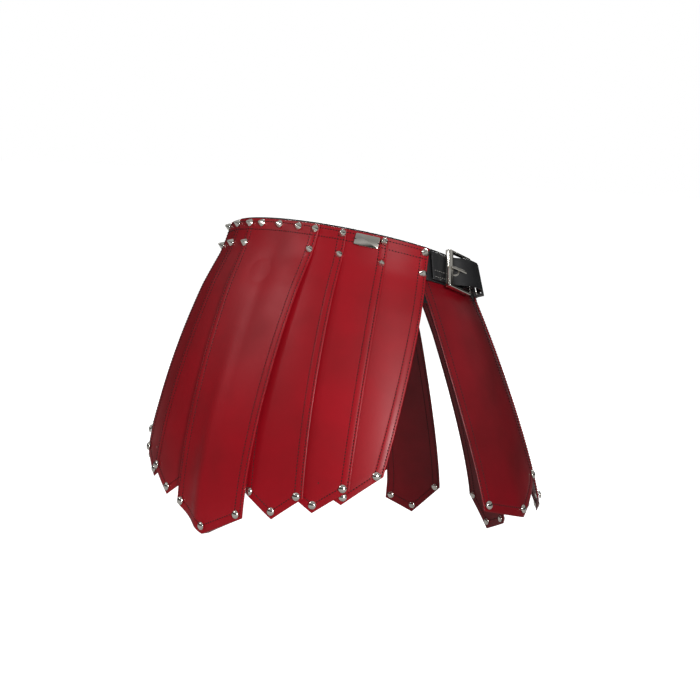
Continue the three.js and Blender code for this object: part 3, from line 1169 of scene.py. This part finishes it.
@dataclass
class NamePlate:
    """The small blank plate, sewn on at both ends."""

    angle: float = 42.0
    wide: float = 29 * MM
    tall: float = 14 * MM
    thick: float = 1.4 * MM
    depth: float = 10 * MM
    out: float = 6.2 * MM

    def build(self) -> None:
        """Makes the plate with rounded corners and its two end stitches."""
        bpy.ops.object.select_all(action="DESELECT")
        bpy.ops.mesh.primitive_cube_add(size=1)
        made = bpy.context.object
        made.name = "name_plate_metal"
        made.scale = (self.wide, self.tall, self.thick)
        bpy.ops.object.transform_apply(scale=True)
        bpy.ops.object.mode_set(mode="EDIT")
        bpy.ops.mesh.select_mode(type="EDGE")
        bpy.ops.mesh.select_all(action="DESELECT")
        bpy.ops.object.mode_set(mode="OBJECT")
        points = made.data.vertices
        for edge in made.data.edges:
            first, second = (points[index].co for index in edge.vertices)
            edge.select = abs(first.z - second.z) > self.thick / 2
        bpy.ops.object.mode_set(mode="EDIT")
        bpy.ops.mesh.bevel(offset=1.6 * MM, segments=4)
        bpy.ops.object.mode_set(mode="OBJECT")
        finish_mesh(made, 0.3 * MM, 2)
        seat = RING.seat(math.radians(self.angle), self.out, self.depth)
        made.data.transform(seat)
        NICKEL.dress(made, Slot.NICKEL)
        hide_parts("name_plate")
        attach(made, "root")
        lines = []
        for end in (-1, 1):
            x = end * self.wide / 2
            line = []
            for k in range(9):
                where = Vector((x + end * (k / 8 - 0.5) * 5 * MM, 0, self.thick * 0.75))
                line.append((seat @ where, seat.col[2].to_3d()))
            lines.append(line)
        thread = stitches("name_plate_thread", lines, 5 * MM, 1.2 * MM)
        # The plate's stitches take the same thread darkened with painted shade.
        THREAD_PAINTED_SHADE.dress(thread, Slot.BLACK)
        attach(thread, "root")


# ---------------------------------------------------------------- studio


@dataclass
class Studio:
    """Pale floor and backdrop, soft lights and the camera."""

    azimuth: float = 42.7
    elevation: float = 6.9
    roll: float = 3.06
    distance: float = 2.3
    view_width: float = 0.8757
    centre: Vector = field(default_factory=lambda: Vector((0, 0, -0.160)))
    aim_right: float = 0.0067
    aim_up: float = 0.0306
    floor: float = -0.46
    room: float = 0.42
    room_bands: tuple[tuple[float, float], ...] = (
        (0.3, 0.4), (0.45, 0.02), (0.62, 0.06), (0.7, 1.0), (0.8, 0.5))
    backdrop: float = 1.0
    floor_glow: float = 0.93

    def axes(self) -> tuple[Vector, Vector, Vector]:
        """The camera's directions before the roll.

        Returns:
            Forward, right and up.
        """
        a, e = math.radians(self.azimuth), math.radians(self.elevation)
        forward = Vector((-math.sin(a) * math.cos(e), math.cos(a) * math.cos(e), -math.sin(e)))
        right = Vector((math.cos(a), math.sin(a), 0))
        return forward, right, right.cross(forward)

    def camera(self) -> None:
        """Sets the camera at the viewing angle."""
        forward, right, up = self.axes()
        eye = self.centre - forward * self.distance
        target = self.centre + right * self.aim_right + up * self.aim_up
        forward = (target - eye).normalized()
        right = forward.cross(Vector((0, 0, 1))).normalized()
        up = right.cross(forward)
        turn = math.radians(self.roll)
        across = right * math.cos(turn) + up * math.sin(turn)
        over = up * math.cos(turn) - right * math.sin(turn)
        matrix = Matrix((across, over, -forward)).transposed().to_4x4()
        matrix.translation = eye
        data = bpy.data.cameras.new("camera")
        data.sensor_width = 36
        data.lens = 36 * self.distance / self.view_width
        made = bpy.data.objects.new("camera", data)
        made.matrix_world = matrix
        bpy.context.scene.collection.objects.link(made)
        bpy.context.scene.camera = made

    def lamp(self, name: str, azimuth: float, elevation: float, distance: float, size: float,
             watts: float) -> None:
        """One soft square light that faces the skirt.

        Args:
            name: the light's name.
            azimuth: its bearing in degrees, from -Y towards +X.
            elevation: its height in degrees.
            distance: how far it stands from the centre.
            size: the side of the square.
            watts: its power.
        """
        a, e = math.radians(azimuth), math.radians(elevation)
        away = Vector((math.sin(a) * math.cos(e), -math.cos(a) * math.cos(e), math.sin(e)))
        data = bpy.data.lights.new(name, "AREA")
        data.energy = watts
        data.size = size
        made = bpy.data.objects.new(name, data)
        made.location = self.centre + away * distance
        made.rotation_euler = away.to_track_quat("Z", "Y").to_euler()
        bpy.context.scene.collection.objects.link(made)

    def build(self) -> None:
        """Makes the floor, the lights and the world."""
        bpy.ops.object.select_all(action="DESELECT")
        bpy.ops.mesh.primitive_plane_add(size=60, location=(0, 0, self.floor))
        floor = bpy.context.object
        floor.name = "studio_floor"
        pale = bpy.data.materials.new("studio_pale")
        pale.use_nodes = True
        nodes, links = pale.node_tree.nodes, pale.node_tree.links
        shader = nodes["Principled BSDF"]
        shader.inputs["Base Color"].default_value = (0.5, 0.5, 0.5, 1)
        shader.inputs["Roughness"].default_value = 0.9
        white = nodes.new("ShaderNodeEmission")
        white.inputs["Strength"].default_value = self.floor_glow
        both = nodes.new("ShaderNodeAddShader")
        sight = nodes.new("ShaderNodeLightPath")
        shown = nodes.new("ShaderNodeMixShader")
        links.new(shader.outputs["BSDF"], both.inputs[0])
        links.new(white.outputs["Emission"], both.inputs[1])
        links.new(sight.outputs["Is Camera Ray"], shown.inputs["Fac"])
        links.new(shader.outputs["BSDF"], shown.inputs[1])
        links.new(both.outputs["Shader"], shown.inputs[2])
        links.new(shown.outputs["Shader"], nodes["Material Output"].inputs["Surface"])
        floor.data.materials.append(pale)
        world = bpy.data.worlds.new("studio_world")
        world.use_nodes = True
        nodes, links = world.node_tree.nodes, world.node_tree.links
        room = nodes["Background"]
        room.inputs["Strength"].default_value = self.room
        sky = nodes.new("ShaderNodeTexCoord")
        height = nodes.new("ShaderNodeSeparateXYZ")
        shade_at = nodes.new("ShaderNodeMapRange")
        shade_at.inputs["From Min"].default_value = -1.0
        bands = nodes.new("ShaderNodeValToRGB")
        for position, level in self.room_bands:
            stop = bands.color_ramp.elements.new(position)
            stop.color = (level, level, level, 1)
        links.new(sky.outputs["Generated"], height.inputs["Vector"])
        links.new(height.outputs["Z"], shade_at.inputs["Value"])
        links.new(shade_at.outputs["Result"], bands.inputs["Fac"])
        links.new(bands.outputs["Color"], room.inputs["Color"])
        backdrop = nodes.new("ShaderNodeBackground")
        backdrop.inputs["Color"].default_value = (1, 1, 1, 1)
        backdrop.inputs["Strength"].default_value = self.backdrop
        seen = nodes.new("ShaderNodeLightPath")
        either = nodes.new("ShaderNodeMixShader")
        links.new(seen.outputs["Is Camera Ray"], either.inputs["Fac"])
        links.new(room.outputs["Background"], either.inputs[1])
        links.new(backdrop.outputs["Background"], either.inputs[2])
        links.new(either.outputs["Shader"], nodes["World Output"].inputs["Surface"])
        bpy.context.scene.world = world
        bpy.context.scene.view_settings.view_transform = "Standard"
        self.lamp("key_light", self.azimuth + 10, 14, 2.8, 0.6, 52)
        self.lamp("side_light", self.azimuth - 80, 30, 2.6, 0.4, 6)
        self.lamp("rear_light", self.azimuth + 172, 24, 2.8, 0.8, 38)
        self.camera()


def dress_carried_nodes() -> None:
    """Gives the CAD chapes and keepers, which still show, the black leather finish."""
    for name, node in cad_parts.items():
        if name.startswith(("buckle_chape", "keeper")):
            BLACK_LEATHER.dress(node)


def main() -> None:
    """Builds the skirt, sub-assembly by sub-assembly."""
    logging.basicConfig(level=logging.INFO, format="%(message)s")
    Studio().build()
    studs = Studs()
    round_master = studs.round_stud()
    cone_master = studs.cone_stud()
    straps = {strap.node: strap for strap in main_straps() + rear_straps()}
    for strap in straps.values():
        strap.add(round_master)
    studs.waist(cone_master, straps)
    Belts().build()
    for label, side in SIDES.items():
        Buckle(side, label).build()
        LOG.info("buckle %s", label)
    NamePlate().build()
    dress_carried_nodes()
    for master in (round_master, cone_master):
        bpy.data.objects.remove(master)
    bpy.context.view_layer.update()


if __name__ == "__main__":
    main()
